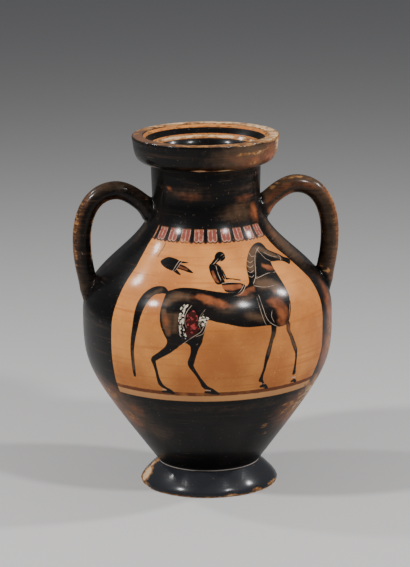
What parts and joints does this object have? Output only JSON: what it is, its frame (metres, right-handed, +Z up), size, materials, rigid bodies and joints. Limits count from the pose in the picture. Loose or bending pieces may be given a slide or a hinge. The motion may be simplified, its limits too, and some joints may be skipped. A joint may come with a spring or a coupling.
{
  "type": "black-figure belly amphora",
  "caption": "Fired clay storage vessel with a flaring lip, egg-shaped body, two round loop handles and a spreading foot, with a painted panel on each side.",
  "frame": {"origin": "centre of the plane that the foot rests on", "axes": "+Z up along the vessel's turning axis; the main picture panel faces -Y, the plainer one +Y, and the handles stand on +X and -X"},
  "size_m": [0.2564, 0.2388, 0.34],
  "materials": {
    "glazed_clay": "black gloss over fired orange clay, worn and scratched, with unglazed picture panels"
  },
  "bodies": {
    "root": {"amphora": "glazed_clay"}
  },
  "joints": []
}
